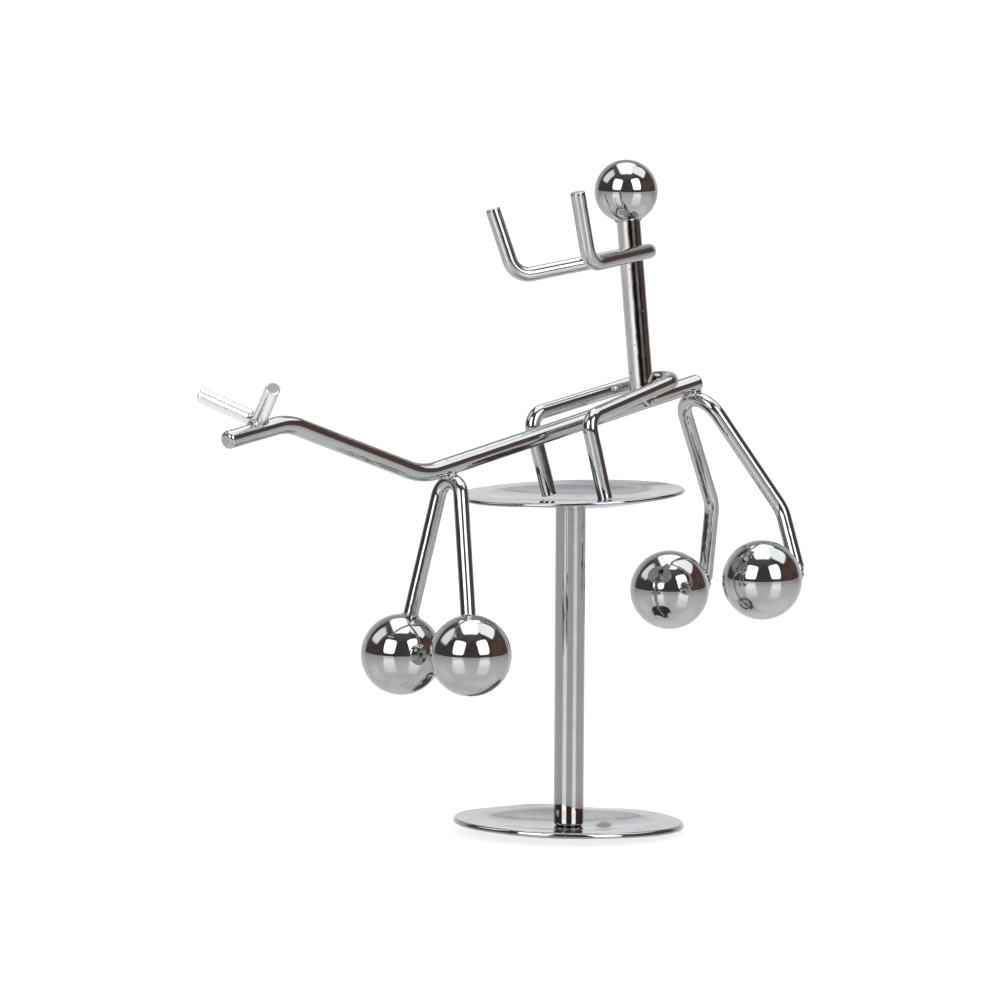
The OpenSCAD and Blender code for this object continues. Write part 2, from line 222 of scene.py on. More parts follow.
def ease_stations(point, way, wire_r, ease):
    """Ring places for one rounded cut end, from the middle of the cut outwards and back along the wire.
    way points out of the end."""
    stations = [(point, share * (wire_r - ease)) for share in CAP_RINGS]
    for k in range(EASE_STEPS + 1):
        angle = math.radians(90 * k / EASE_STEPS)
        back = way * ease * (1 - math.cos(angle)) * EASE_REACH
        stations.append((point - back, wire_r - ease * (1 - math.sin(angle))))
    return stations


def wire_stations(line, wire_r, ease_start, ease_end):
    """Ring places (point, direction, radius) along a wire, with its cut ends rounded off."""
    stations = []
    if ease_start:
        point, way = line[0]
        stations += [(p, way, r) for p, r in ease_stations(point, -way, wire_r, ease_start)]
    for point, way in line:
        near_start = ease_start and (point - line[0][0]).length < EASE_CLEAR * ease_start
        near_end = ease_end and (point - line[-1][0]).length < EASE_CLEAR * ease_end
        if not near_start and not near_end:
            stations.append((point, way, wire_r))
    if ease_end:
        point, way = line[-1]
        stations += [(p, way, r) for p, r in reversed(ease_stations(point, way, wire_r, ease_end))]
    return stations


# How far apart the dents of a wire and of a ball lie
WIRE_DENT_SIZE, BALL_DENT_SIZE = 2.2, 4.0


def dent(point, size, depth):
    """Gentle unevenness of hand-bent and polished metal, in millimetres."""
    fine = noise.noise(point / size * 2.7 + Vector((7, 3, 1)))
    return depth * noise.noise(point / size) + 0.4 * depth * fine


def add_wire(work, points, bends, wire_r, ease_start=0.0, ease_end=0.0, depth=0.012, around=48):
    """Sweeps a round wire along its bent centre line, with the slight dents of bending."""
    stations = wire_stations(wire_line(points, bends), wire_r, ease_start, ease_end)
    way = stations[0][1]
    # Any direction does that no wire runs along
    across = unit(way.cross(Vector((0.31, 0.87, 0.12))))
    rings = []
    for point, way, r in stations:
        across = unit(across - way * across.dot(way))
        second = way.cross(across)
        ring = []
        for k in range(around):
            angle = 2 * math.pi * k / around
            out = across * math.cos(angle) + second * math.sin(angle)
            p = point + out * r
            ring.append(p + out * dent(p, WIRE_DENT_SIZE, depth))
        rings.append(ring)
    skin_rings(work, rings)


def add_ball(work, centre, ball_r, depth=0.006):
    """A steel ball, with the faint unevenness of its plating."""
    made = bmesh.ops.create_icosphere(work, subdivisions=6, radius=ball_r)
    for v in made["verts"]:
        out = unit(v.co)
        v.co = centre + v.co + out * dent(v.co + centre, BALL_DENT_SIZE, depth)


def add_lathe(work, profile, centre, around, shift):
    """Turns a profile of (radius, height) points round Z. shift(point) is how far each point then moves."""
    axis = Vector((0, 0, 1))
    across = unit(axis.cross(Vector((0.2, 1, 0.1))))
    second = axis.cross(across)
    rings = []
    for radius, height in profile:
        ring = []
        for k in range(around):
            angle = 2 * math.pi * k / around
            p = centre + axis * height + (across * math.cos(angle) + second * math.sin(angle)) * radius
            ring.append(p + shift(p))
        rings.append(ring)
    skin_rings(work, rings)


# Size of the grid on which lumps run together, and rounds of smoothing
MELT_VOXEL = 0.13
MELT_ROUNDS = 8
# How uneven a lump is, as a share of its radius, and over what distance
LUMP_ROUGH, LUMP_GRAIN = 0.15, 0.7


def melted(lumps):
    """One skin round a heap of overlapping lumps, as weld metal runs together. lumps are (centre, radius)."""
    heap = bmesh.new()
    for centre, radius in lumps:
        made = bmesh.ops.create_icosphere(heap, subdivisions=3, radius=radius)
        for v in made["verts"]:
            out = unit(v.co)
            v.co = centre + v.co + out * LUMP_ROUGH * radius * noise.noise((v.co + centre) / LUMP_GRAIN)
    mesh = bpy.data.meshes.new("heap")
    heap.to_mesh(mesh)
    heap.free()
    lump = bpy.data.objects.new("heap", mesh)
    bpy.context.scene.collection.objects.link(lump)
    melt = lump.modifiers.new("melt", "REMESH")
    melt.mode = "VOXEL"
    melt.voxel_size = MELT_VOXEL
    soften = lump.modifiers.new("soften", "SMOOTH")
    soften.factor = 0.5
    soften.iterations = MELT_ROUNDS
    skin = bpy.data.meshes.new_from_object(lump.evaluated_get(bpy.context.evaluated_depsgraph_get()))
    work = bmesh.new()
    work.from_mesh(skin)
    bpy.data.objects.remove(lump)
    bpy.data.meshes.remove(mesh)
    bpy.data.meshes.remove(skin)
    return work


def wire_skin(points, bends, wire_r, near, reach):
    """The part of a wire's skin within reach of a point: a function from a point to the nearest spot on the
    wire's centre line, and the wire's radius."""
    line = [p for p, _ in wire_line(points, bends) if (p - near).length < reach + 2 * wire_r]

    def nearest(p):
        best, spot = None, None
        for low, high in zip(line, line[1:]):
            way = high - low
            share = min(1.0, max(0.0, (p - low).dot(way) / way.length_squared))
            here = low + way * share
            if best is None or (p - here).length < best:
                best, spot = (p - here).length, here
        return spot, wire_r

    return nearest


def ball_skin(centre, ball_r):
    """The same for a ball: its centre and its radius, whatever the point."""
    return lambda p: (centre, ball_r)


# Tries per point that is asked for, steps from skin to skin, and how far off the first skin a point may end
CREASE_TRIES = 40
CREASE_STEPS = 10
CREASE_MISS = 0.08


def crease(skin_a, skin_b, near, reach, count, dice):
    """Points in the crease where two pieces' skins meet, near a weld, found by stepping from skin to skin."""
    found = []
    for _ in range(CREASE_TRIES * count):
        p = near + Vector([dice.uniform(-reach, reach) for _ in range(3)])
        for _ in range(CREASE_STEPS):
            for skin in (skin_a, skin_b):
                spot, r = skin(p)
                p = spot + unit(p - spot) * r
        spot, r = skin_a(p)
        if (p - near).length < reach and abs((p - spot).length - r) < CREASE_MISS:
            found.append(p)
        if len(found) == count:
            break
    return found


# The figure's lines

NOSE = Vector((-87.0, 0, 16.4))
POLL = Vector((-71.4, 0, 19.0))
WITHERS = Vector((-38.2, 0, 7.0))
TAIL = Vector((36.7, 0, 21.4))
BACK_SLOPE = math.atan2(TAIL[2] - WITHERS[2], TAIL[0] - WITHERS[0])
WIRE_ON_SPINE = SPINE_R + LIMB_R - WELD_SINK


def back_z(x):
    """Height of the spine's axis along the back."""
    return WITHERS[2] + (x - WITHERS[0]) * math.tan(BACK_SLOPE)


def seat_distance(ball_r, rod_r):
    """How far from a ball's centre the flat end of a rod that is sunk into it lies."""
    return math.sqrt(ball_r**2 - rod_r**2) - WELD_SINK


# Ears
EAR_SEAT, EAR_SINK, EAR_BEND_R = 9.0, 0.8, 3.0
EAR_TIP = (4.9, 11.0, 6.0)
ear_half_turn = math.radians(90) - math.atan2(EAR_TIP[1], math.hypot(EAR_TIP[0], EAR_TIP[2]))
ear_lift = EAR_BEND_R * (1 / math.cos(ear_half_turn) - 1)
ear_corner = beside(NOSE, POLL, EAR_SEAT, SPINE_R + LIMB_R - EAR_SINK - ear_lift)
ear_weld = beside(NOSE, POLL, EAR_SEAT, SPINE_R)
ear_points = [
    ear_corner + Vector((-EAR_TIP[0], LEFT * EAR_TIP[1], EAR_TIP[2])),
    ear_corner,
    ear_corner + Vector((-EAR_TIP[0], RIGHT * EAR_TIP[1], EAR_TIP[2])),
]

# Front legs
FRONT_BEND_R = 3.4
FRONT_SEAT, FRONT_RAKE = 6.8, 7.4
front_top = beside(WITHERS, TAIL, FRONT_SEAT, -WIRE_ON_SPINE)
front_weld = beside(WITHERS, TAIL, FRONT_SEAT, -SPINE_R)
FRONT_BALL_X, FRONT_DROP, FRONT_SPAN, FRONT_SKEW = front_top[0] - FRONT_RAKE, 28.2, 20.6, -1.0
front_corner = fork_corner(front_top, Vector((FRONT_BALL_X, 0, -FRONT_DROP)), FRONT_SPAN, FRONT_BEND_R)
front_balls = {
    s: Vector((FRONT_BALL_X, s * FRONT_SPAN / 2, lower(-FRONT_DROP, FRONT_SKEW, s))) for s in SIDES
}
front_ends = {s: along(front_balls[s], front_corner, seat_distance(WEIGHT_R, LIMB_R)) for s in SIDES}

# Rear legs
REAR_BEND_R, HOCK_BEND_R = 5.2, 6.0
HOCK_X, HOCK_DROP, HOCK_SPAN, HOCK_SKEW = 47.5, 4.4, 20.5, -2.1
REAR_BALL_X, REAR_DROP, REAR_SPAN, REAR_SKEW = 37.2, 19.5, 27.6, 0.8
REAR_SEAT = 1.9
rear_top = beside(TAIL, WITHERS, REAR_SEAT, -WIRE_ON_SPINE)
rear_weld = beside(TAIL, WITHERS, REAR_SEAT, -SPINE_R)
rear_corner = fork_corner(rear_top, Vector((HOCK_X, 0, -HOCK_DROP)), HOCK_SPAN, REAR_BEND_R)
weld_up, weld_round = math.radians(8), math.radians(6)
rear_weld_way = Vector(
    (
        math.cos(weld_up) * math.cos(weld_round),
        LEFT * math.cos(weld_up) * math.sin(weld_round),
        math.sin(weld_up),
    )
)
hocks = {s: Vector((HOCK_X, s * HOCK_SPAN / 2, lower(-HOCK_DROP, HOCK_SKEW, s))) for s in SIDES}
rear_balls = {s: Vector((REAR_BALL_X, s * REAR_SPAN / 2, lower(-REAR_DROP, REAR_SKEW, s))) for s in SIDES}
rear_ends = {s: rear_balls[s] + rear_weld_way * (WEIGHT_R + LIMB_R - WELD_SINK) for s in SIDES}

# Torso, head and arms
TORSO_X, HEAD_Z, SHOULDER_Z = 21.3, 60.6, 48.3
TORSO_SEAT = 0.8
ELBOW_BEND_R = 4.0
ELBOW_REACH = 21.4
ELBOW_X, ELBOW_Z, ELBOW_SKEW, ELBOW_SPAN = TORSO_X - ELBOW_REACH, 45.4, 0.8, 22.4
HAND_FORWARD, HAND_RISE, HAND_SPAN, HAND_SKEW = 3.2, 14.2, 25.6, 1.3
torso_foot = Vector((TORSO_X, 0, back_z(TORSO_X) + SPINE_R / math.cos(BACK_SLOPE) - TORSO_SEAT))
torso_top = Vector((TORSO_X, 0, HEAD_Z - seat_distance(HEAD_R, TORSO_R)))
head_centre = Vector((TORSO_X, 0, HEAD_Z))
SHOULDER_BEND_R = TORSO_R + LIMB_R - WELD_SINK
shoulder = Vector((TORSO_X + SHOULDER_BEND_R, 0, SHOULDER_Z))
shoulder_corner = fork_corner(shoulder, Vector((ELBOW_X, 0, ELBOW_Z)), ELBOW_SPAN, SHOULDER_BEND_R)
elbows = {s: Vector((ELBOW_X, s * ELBOW_SPAN / 2, lower(ELBOW_Z, ELBOW_SKEW, s))) for s in SIDES}
hands = {
    s: Vector((ELBOW_X - HAND_FORWARD, s * HAND_SPAN / 2, lower(ELBOW_Z + HAND_RISE, HAND_SKEW, s)))
    for s in SIDES
}

# Rider's legs
HIP_BEND_R, KNEE_BEND_R = 4.6, 3.0
HIPS_BACK = 6.3
HIPS_X = TORSO_X + HIPS_BACK
KNEE_X, KNEE_Z, KNEE_SPAN, KNEE_SKEW = -1.5, 16.5, 17.2, -1.5
hips = Vector((HIPS_X, 0, back_z(HIPS_X) + WIRE_ON_SPINE / math.cos(BACK_SLOPE)))
hips_weld = Vector((HIPS_X, 0, back_z(HIPS_X) + SPINE_R / math.cos(BACK_SLOPE)))
hips_corner = fork_corner(hips, Vector((KNEE_X, 0, KNEE_Z)), KNEE_SPAN, HIP_BEND_R)
knees = {s: Vector((KNEE_X, s * KNEE_SPAN / 2, lower(KNEE_Z, KNEE_SKEW, s))) for s in SIDES}


def foot_end(side):
    """Where the shin's axis ends, with the lowest point of its square-cut sole just over the disc."""
    end = sole(side)
    # The end and the shin's direction depend on each other, and settle in a few steps
    for _ in range(4):
        way = unit(end - stood(knees[side]))
        end = sole(side) + unit(Vector((0, 0, 1)) - way * way[2]) * LIMB_R
    return end


# Shared shader effects


def new_group(name, inputs, outputs):
    """An empty shader node group with named sockets: inputs are (type, name, default)."""
    group = bpy.data.node_groups.new(name, "ShaderNodeTree")
    for kind, label, default in inputs:
        socket = group.interface.new_socket(label, in_out="INPUT", socket_type=kind)
        if default is not None:
            socket.default_value = default
    for kind, label in outputs:
        group.interface.new_socket(label, in_out="OUTPUT", socket_type=kind)
    return group, group.nodes.new("NodeGroupInput"), group.nodes.new("NodeGroupOutput")


def feed(tree, socket, value):
    """Links another node's socket to a socket, or sets its value."""
    if isinstance(value, bpy.types.NodeSocket):
        tree.links.new(value, socket)
    else:
        socket.default_value = value


def math_node(tree, operation, a, b=None, clamp=False):
    """A Math node, with a and b as sockets or numbers. Gives its output."""
    node = tree.nodes.new("ShaderNodeMath")
    node.operation = operation
    node.use_clamp = clamp
    for socket, value in zip(node.inputs, (a, b)):
        if value is not None:
            feed(tree, socket, value)
    return node.outputs[0]


def add(tree, a, b, clamp=False):
    """The sum of two values."""
    return math_node(tree, "ADD", a, b, clamp)


def product(tree, *values):
    """The product of two or more values."""
    total = values[0]
    for value in values[1:]:
        total = math_node(tree, "MULTIPLY", total, value)
    return total


def smooth_range(tree, value, low, high, to_low=0.0, to_high=1.0):
    """A smooth step from to_low at low to to_high at high."""
    node = tree.nodes.new("ShaderNodeMapRange")
    node.interpolation_type = "SMOOTHSTEP"
    labels = ("Value", "From Min", "From Max", "To Min", "To Max")
    for label, v in zip(labels, (value, low, high, to_low, to_high)):
        feed(tree, node.inputs[label], v)
    return node.outputs["Result"]


def mix_colour(tree, factor, a, b):
    """A colour mix, with a and b as sockets or colours. Gives its output."""
    node = tree.nodes.new("ShaderNodeMix")
    node.data_type = "RGBA"
    # The node has sockets for numbers, vectors and colours: 6 and 7 are its colours, and 2 is their mix
    for index, v in ((0, factor), (6, a), (7, b)):
        feed(tree, node.inputs[index], v)
    return node.outputs[2]


def millimetres(tree):
    """The piece's own coordinates, in millimetres."""
    place = tree.nodes.new("ShaderNodeTexCoord")
    scale = tree.nodes.new("ShaderNodeVectorMath")
    scale.operation = "SCALE"
    scale.inputs["Scale"].default_value = 1000.0
    tree.links.new(place.outputs["Object"], scale.inputs[0])
    return scale.outputs[0]


def vector_node(tree, operation, vector, value=None):
    """A Vector Math node on a vector, and on a second one as a value. Gives its outputs."""
    node = tree.nodes.new("ShaderNodeVectorMath")
    node.operation = operation
    tree.links.new(vector, node.inputs[0])
    if value is not None:
        node.inputs[1].default_value = value
    return node.outputs


def dot_node(tree, vector, way):
    """How far along a direction a place lies."""
    return vector_node(tree, "DOT_PRODUCT", vector, way)["Value"]


def in_picture(tree, vector):
    """How far to the picture's right, and how far away from the camera, a place lies."""
    return dot_node(tree, vector, PICTURE_RIGHT), dot_node(tree, vector, PICTURE_AWAY)


def reach_node(tree, vector):
    """How far from the Z axis a place lies."""
    flat = vector_node(tree, "MULTIPLY", vector, (1, 1, 0))
    return vector_node(tree, "LENGTH", flat["Vector"])["Value"]


def band(tree, value, middle, half):
    """A soft band: 1 at the middle, 0 from half away."""
    away = math_node(tree, "ABSOLUTE", math_node(tree, "SUBTRACT", value, middle))
    return smooth_range(tree, away, 0.4 * half, half, 1.0, 0.0)


def noise_node(tree, vector, scale, detail=2.0, rough=0.5):
    """Soft random patches, from 0 to 1."""
    node = tree.nodes.new("ShaderNodeTexNoise")
    node.inputs["Scale"].default_value = scale
    node.inputs["Detail"].default_value = detail
    node.inputs["Roughness"].default_value = rough
    tree.links.new(vector, node.inputs["Vector"])
    return node.outputs["Fac"]


def make_pits_group():
    """Pits: small round pits and specks under the plating, at random. Gives a height and a mask."""
    group, given, out = new_group(
        "Plating pits",
        [
            ("NodeSocketVector", "Place", None),
            ("NodeSocketFloat", "Spacing", 1.6),
            ("NodeSocketFloat", "Share", 0.25),
            ("NodeSocketFloat", "Pit size", 0.12),
        ],
        [("NodeSocketFloat", "Height"), ("NodeSocketFloat", "Mask")],
    )
    divide = group.nodes.new("ShaderNodeVectorMath")
    divide.operation = "DIVIDE"
    group.links.new(given.outputs["Place"], divide.inputs[0])
    spread = group.nodes.new("ShaderNodeCombineXYZ")
    for axis in "XYZ":
        group.links.new(given.outputs["Spacing"], spread.inputs[axis])
    group.links.new(spread.outputs[0], divide.inputs[1])
    cells = group.nodes.new("ShaderNodeTexVoronoi")
    cells.inputs["Scale"].default_value = 1.0
    group.links.new(divide.outputs[0], cells.inputs["Vector"])
    luck = group.nodes.new("ShaderNodeSeparateColor")
    group.links.new(cells.outputs["Color"], luck.inputs[0])
    chosen = math_node(group, "LESS_THAN", luck.outputs[0], given.outputs["Share"])
    size = product(group, given.outputs["Pit size"], add(group, luck.outputs[1], 0.4))
    round_pit = smooth_range(group, cells.outputs["Distance"], 0.0, size, 1.0, 0.0)
    mask = product(group, round_pit, chosen)
    group.links.new(mask, out.inputs["Mask"])
    group.links.new(product(group, mask, -1.0), out.inputs["Height"])
    return group


def make_waves_group():
    """Waves: the long and short unevenness of a polished and plated skin, as a height."""
    group, given, out = new_group(
        "Plating waves",
        [
            ("NodeSocketVector", "Place", None),
            ("NodeSocketFloat", "Fine", 0.3),
        ],
        [("NodeSocketFloat", "Height")],
    )
    swell = noise_node(group, given.outputs["Place"], 0.55, 1.5)
    peel = noise_node(group, given.outputs["Place"], 2.4, 2.0)
    total = add(group, swell, product(group, peel, given.outputs["Fine"]))
    group.links.new(total, out.inputs["Height"])
    return group


def make_smudge_group():
    """Smudges: hazy patches of handling and dust, as a roughness and a tone."""
    group, given, out = new_group(
        "Handling smudges",
        [
            ("NodeSocketVector", "Place", None),
            ("NodeSocketFloat", "Clean roughness", 0.03),
            ("NodeSocketFloat", "Hazy roughness", 0.14),
            ("NodeSocketFloat", "Amount", 0.5),
        ],
        [("NodeSocketFloat", "Roughness"), ("NodeSocketFloat", "Haze")],
    )
    patch = noise_node(group, given.outputs["Place"], 0.16, 4.0, 0.62)
    haze = smooth_range(group, patch, 0.46, 0.72)
    haze = product(group, haze, given.outputs["Amount"])
    group.links.new(haze, out.inputs["Haze"])
    grow = math_node(group, "SUBTRACT", given.outputs["Hazy roughness"], given.outputs["Clean roughness"])
    rough = add(group, given.outputs["Clean roughness"], product(group, grow, haze))
    group.links.new(rough, out.inputs["Roughness"])
    return group


def make_turning_group():
    """Turning marks: fine rings round the Z axis, as a height."""
    group, given, out = new_group(
        "Turning marks", [("NodeSocketVector", "Place", None)], [("NodeSocketFloat", "Height")]
    )
    reach = reach_node(group, given.outputs["Place"])
    line = group.nodes.new("ShaderNodeCombineXYZ")
    group.links.new(reach, line.inputs["X"])
    group.links.new(noise_node(group, line.outputs[0], 2.2, 3.0, 0.7), out.inputs["Height"])
    return group


PITS = make_pits_group()
WAVES = make_waves_group()
SMUDGES = make_smudge_group()
TURNING = make_turning_group()


def place_group(tree, group, vector, **values):
    """Places a shared effect in a material with that material's own values."""
    node = tree.nodes.new("ShaderNodeGroup")
    node.node_tree = group
    tree.links.new(vector, node.inputs["Place"])
    for label, value in values.items():
        node.inputs[label.replace("_", " ")].default_value = value
    return node


CHROME = (0.50, 0.505, 0.505, 1.0)
CHROME_DARK = (0.30, 0.29, 0.28, 1.0)
PIT_COLOUR = (0.12, 0.11, 0.10, 1)
PIT_DEPTH = 0.05
# How much of the dark chrome shows where a smudge is at its haziest
SMUDGE_TONE = 0.25


def chrome_material(
    name,
    pits=0.2,
    pit_size=0.12,
    fine_wave=0.25,
    wave_height=0.004,
    clean=0.03,
    hazy=0.12,
    smudge=0.5,
    colour=CHROME,
    tone_marks=(),
    dull=None,
    rings=0.0,
):
    """Mirror chrome with pits, waves and smudges in a piece's own amounts. Each of the tone_marks, real
    stains and painted light and shade alike, is a function that gives a mask from the material's tree and
    place, and a colour. dull is such a function and its roughness. rings is the height of turning marks."""
    material = bpy.data.materials.new(name)
    material.use_nodes = True
    tree = material.node_tree
    shader = tree.nodes["Principled BSDF"]
    shader.inputs["Metallic"].default_value = 1.0
    place = millimetres(tree)
    marks = place_group(tree, PITS, place, Share=pits, Pit_size=pit_size)
    waves = place_group(tree, WAVES, place, Fine=fine_wave)
    smudges = place_group(tree, SMUDGES, place, Clean_roughness=clean, Hazy_roughness=hazy, Amount=smudge)
    toned = mix_colour(tree, product(tree, smudges.outputs["Haze"], SMUDGE_TONE), colour, CHROME_DARK)
    for tone_mark, tone_colour in tone_marks:
        toned = mix_colour(tree, tone_mark(tree, place), toned, tone_colour)
    tree.links.new(mix_colour(tree, marks.outputs["Mask"], toned, PIT_COLOUR), shader.inputs["Base Color"])
    roughness = smudges.outputs["Roughness"]
    if dull:
        mask, rough = dull
        mask = mask(tree, place)
        keep = product(tree, roughness, math_node(tree, "SUBTRACT", 1.0, mask))
        roughness = add(tree, keep, product(tree, mask, rough))
    tree.links.new(roughness, shader.inputs["Roughness"])
    waved = product(tree, waves.outputs["Height"], wave_height)
    height = add(tree, waved, product(tree, marks.outputs["Height"], PIT_DEPTH))
    if rings:
        turned = place_group(tree, TURNING, place)
        height = add(tree, height, product(tree, turned.outputs["Height"], rings))
    bump = tree.nodes.new("ShaderNodeBump")
    bump.inputs["Distance"].default_value = MM
    bump.inputs["Strength"].default_value = 1.0
    tree.links.new(height, bump.inputs["Height"])
    tree.links.new(bump.outputs["Normal"], shader.inputs["Normal"])
    return material


# Marks on the metal, in millimetres. The scorching fades out upwards, and, as painted shade, towards the lit
# middle of the post, so that the post's sides as the camera sees them are painted darker
SCORCH_FADE = (8.5, 3.0)
POST_SHADE_SIDES = (0.8, 2.4)
TINT_HEIGHT, TINT_HALF = 4.1, 1.1
# Where the dish's patches fade out: outwards and inwards from the dish's radius
DISH_EDGE = (0.2, -0.9)
# Darker bluish patches of the base disc: middle and half width to the picture's right, the same away, and
# strength
BASE_PATCHES = (((-13.4, 4.6), (6.5, 10.0), 1.0), ((13.6, 5.2), (4.0, 9.0), 0.85))
# The darker crescent in front: middle and half width away from the camera
BASE_CRESCENT = (-12.0, 6.5)
# The dark spot: direction, middle and half width
BASE_SPOT = ((PICTURE_RIGHT, 7.1, 2.2), (PICTURE_AWAY, -1.7, 6.5))
TOP_PATCH = (-3.0, -12.0)


def post_scorch_and_shade(tree, place):
    """Weld scorch round the post's foot, and painted shade: darker at the post's sides seen from the camera.
    """
    height = dot_node(tree, place, (0, 0, 1))
    uneven = product(tree, noise_node(tree, place, 0.6, 3.0), 2.0)
    height = add(tree, height, math_node(tree, "SUBTRACT", uneven, 1.0))
    # Painted shade: the scorch is painted darker at the post's sides, as the camera sees them, than in its
    # middle
    side = math_node(tree, "ABSOLUTE", dot_node(tree, place, PICTURE_RIGHT))
    side = smooth_range(tree, side, *POST_SHADE_SIDES, 0.3, 1.0)
    return product(tree, smooth_range(tree, height, *SCORCH_FADE), side, 0.4)


def post_tint(tree, place):
    """A straw-coloured heat ring just above the weld."""
    return product(tree, band(tree, dot_node(tree, place, (0, 0, 1)), TINT_HEIGHT, TINT_HALF), 0.45)


def in_dish(tree, place):
    """1 in a disc's dish and 0 outside it."""
    outer, inner = DISH_EDGE
    return smooth_range(tree, reach_node(tree, place), DISH_R + outer, DISH_R + inner)


def base_dark_patches(tree, place):
    """Darker bluish patches along the edge of the base disc's dish: to the picture's left and right, and in
    front.
    """
    across, away = in_picture(tree, place)
    haze = product(tree, band(tree, away, *BASE_CRESCENT), 0.8)
    for right, beyond, strength in BASE_PATCHES:
        patch = product(tree, band(tree, across, *right), band(tree, away, *beyond), strength)
        haze = add(tree, haze, patch, clamp=True)
    return product(tree, haze, in_dish(tree, place), 0.85)


def base_spot(tree, place):
    """A soft, dull and dark oval spot beside the post's foot."""
    squares = []
    for way, middle, half in BASE_SPOT:
        offset = math_node(tree, "SUBTRACT", dot_node(tree, place, way), middle)
        share = math_node(tree, "DIVIDE", offset, half)
        squares.append(product(tree, share, share))
    reach = math_node(tree, "SQRT", add(tree, *squares))
    return product(tree, smooth_range(tree, reach, 0.45, 1.0, 1.0, 0.0), 0.85)


def top_haze(tree, place):
    """A hazy patch in the dish of the top disc, to the left of the picture."""
    patch = smooth_range(tree, dot_node(tree, place, PICTURE_RIGHT), *TOP_PATCH)
    return product(tree, patch, in_dish(tree, place), 0.6)


TORSO_WAY = unit(stood(torso_top) - stood(torso_foot))
TORSO_ACROSS = unit(PICTURE_RIGHT - TORSO_WAY * TORSO_WAY.dot(PICTURE_RIGHT))
# The torso's painted reflection, to the picture's right of its axis: how uneven it is, the dark strip of
# painted shade as middle and half width, and where the dull, paler side of painted sheen begins and is full
TORSO_WOBBLE = 0.5
TORSO_SHADE_STRIP = (0.65, 1.1)
TORSO_DULL_SHEEN_EDGE = (0.1, -0.5)


def torso_side(tree, place):
    """How far to the picture's right of the torso's axis a place lies, a little unevenly."""
    across = dot_node(tree, place, TORSO_ACROSS)
    across = math_node(tree, "SUBTRACT", across, stood(torso_foot).dot(TORSO_ACROSS) + TORSO_WOBBLE / 2)
    return add(tree, across, product(tree, noise_node(tree, place, 0.5, 3.0), TORSO_WOBBLE))


def torso_painted_shade_strip(tree, place):
    """A dark strip of painted shade along the torso, to the picture's right of its axis."""
    return product(tree, band(tree, torso_side(tree, place), *TORSO_SHADE_STRIP), 0.95)


def torso_dull_and_painted_sheen(tree, place):
    """The torso's side to the picture's left, made rougher and painted paler: a painted sheen."""
    return smooth_range(tree, torso_side(tree, place), *TORSO_DULL_SHEEN_EDGE)


ball_chrome = chrome_material("Ball chrome", pits=0.05, wave_height=0.006, clean=0.02, hazy=0.08)
wire_chrome = chrome_material(
    "Wire chrome", pits=0.16, wave_height=0.012, fine_wave=0.2, clean=0.05, hazy=0.2
)
bar_chrome = chrome_material(
    "Bar chrome", pits=0.16, wave_height=0.011, fine_wave=0.2, clean=0.05, hazy=0.18
)
# Painted highlight: the ears are the same wire as the limbs, but their chrome is painted far paler so that
# they look blown out by the light
ear_chrome_painted_pale = chrome_material(
    "Ear chrome", pits=0.1, wave_height=0.012, clean=0.24, hazy=0.34, colour=(0.93, 0.935, 0.935, 1)
)
torso_chrome = chrome_material(
    "Torso chrome",
    pits=0.35,
    pit_size=0.16,
    wave_height=0.011,
    fine_wave=0.2,
    clean=0.12,
    hazy=0.25,
    # Painted shade and sheen: a near-black strip on the picture's right and a paler, duller left side stand
    # in for the torso's reflections
    tone_marks=[(torso_painted_shade_strip, (0.035, 0.03, 0.027, 1)), (torso_dull_and_painted_sheen, (0.8, 0.79, 0.785, 1))],
    dull=(torso_dull_and_painted_sheen, 0.36),
)
post_chrome = chrome_material(
    "Post chrome",
    pits=0.05,
    wave_height=0.01,
    clean=0.03,
    hazy=0.12,
    # The scorch carries painted shade at the post's sides; the straw ring is the metal's own heat tint
    tone_marks=[(post_scorch_and_shade, (0.16, 0.12, 0.10, 1)), (post_tint, (0.62, 0.47, 0.34, 1))],
)
weld_chrome = chrome_material(
    "Weld chrome", pits=0.15, wave_height=0.015, fine_wave=0.4, clean=0.1, hazy=0.25
)
DISC_FINISH = {"pits": 0.03, "wave_height": 0.006, "clean": 0.05, "hazy": 0.2, "smudge": 0.8, "rings": 0.003}
base_chrome = chrome_material(
    "Base disc chrome",
    **DISC_FINISH,
    colour=(0.445, 0.452, 0.472, 1),
    tone_marks=[(base_dark_patches, (0.30, 0.32, 0.36, 1)), (base_spot, (0.10, 0.10, 0.10, 1))],
    dull=(base_spot, 0.35),
)
top_chrome = chrome_material(
    "Top disc chrome",
    **DISC_FINISH,
    colour=(0.40, 0.41, 0.435, 1),
    tone_marks=[(top_haze, (0.32, 0.34, 0.36, 1))],
)


# Studio


# The higher, the squarer the panels' corners
CORNER_POWER = 6.0


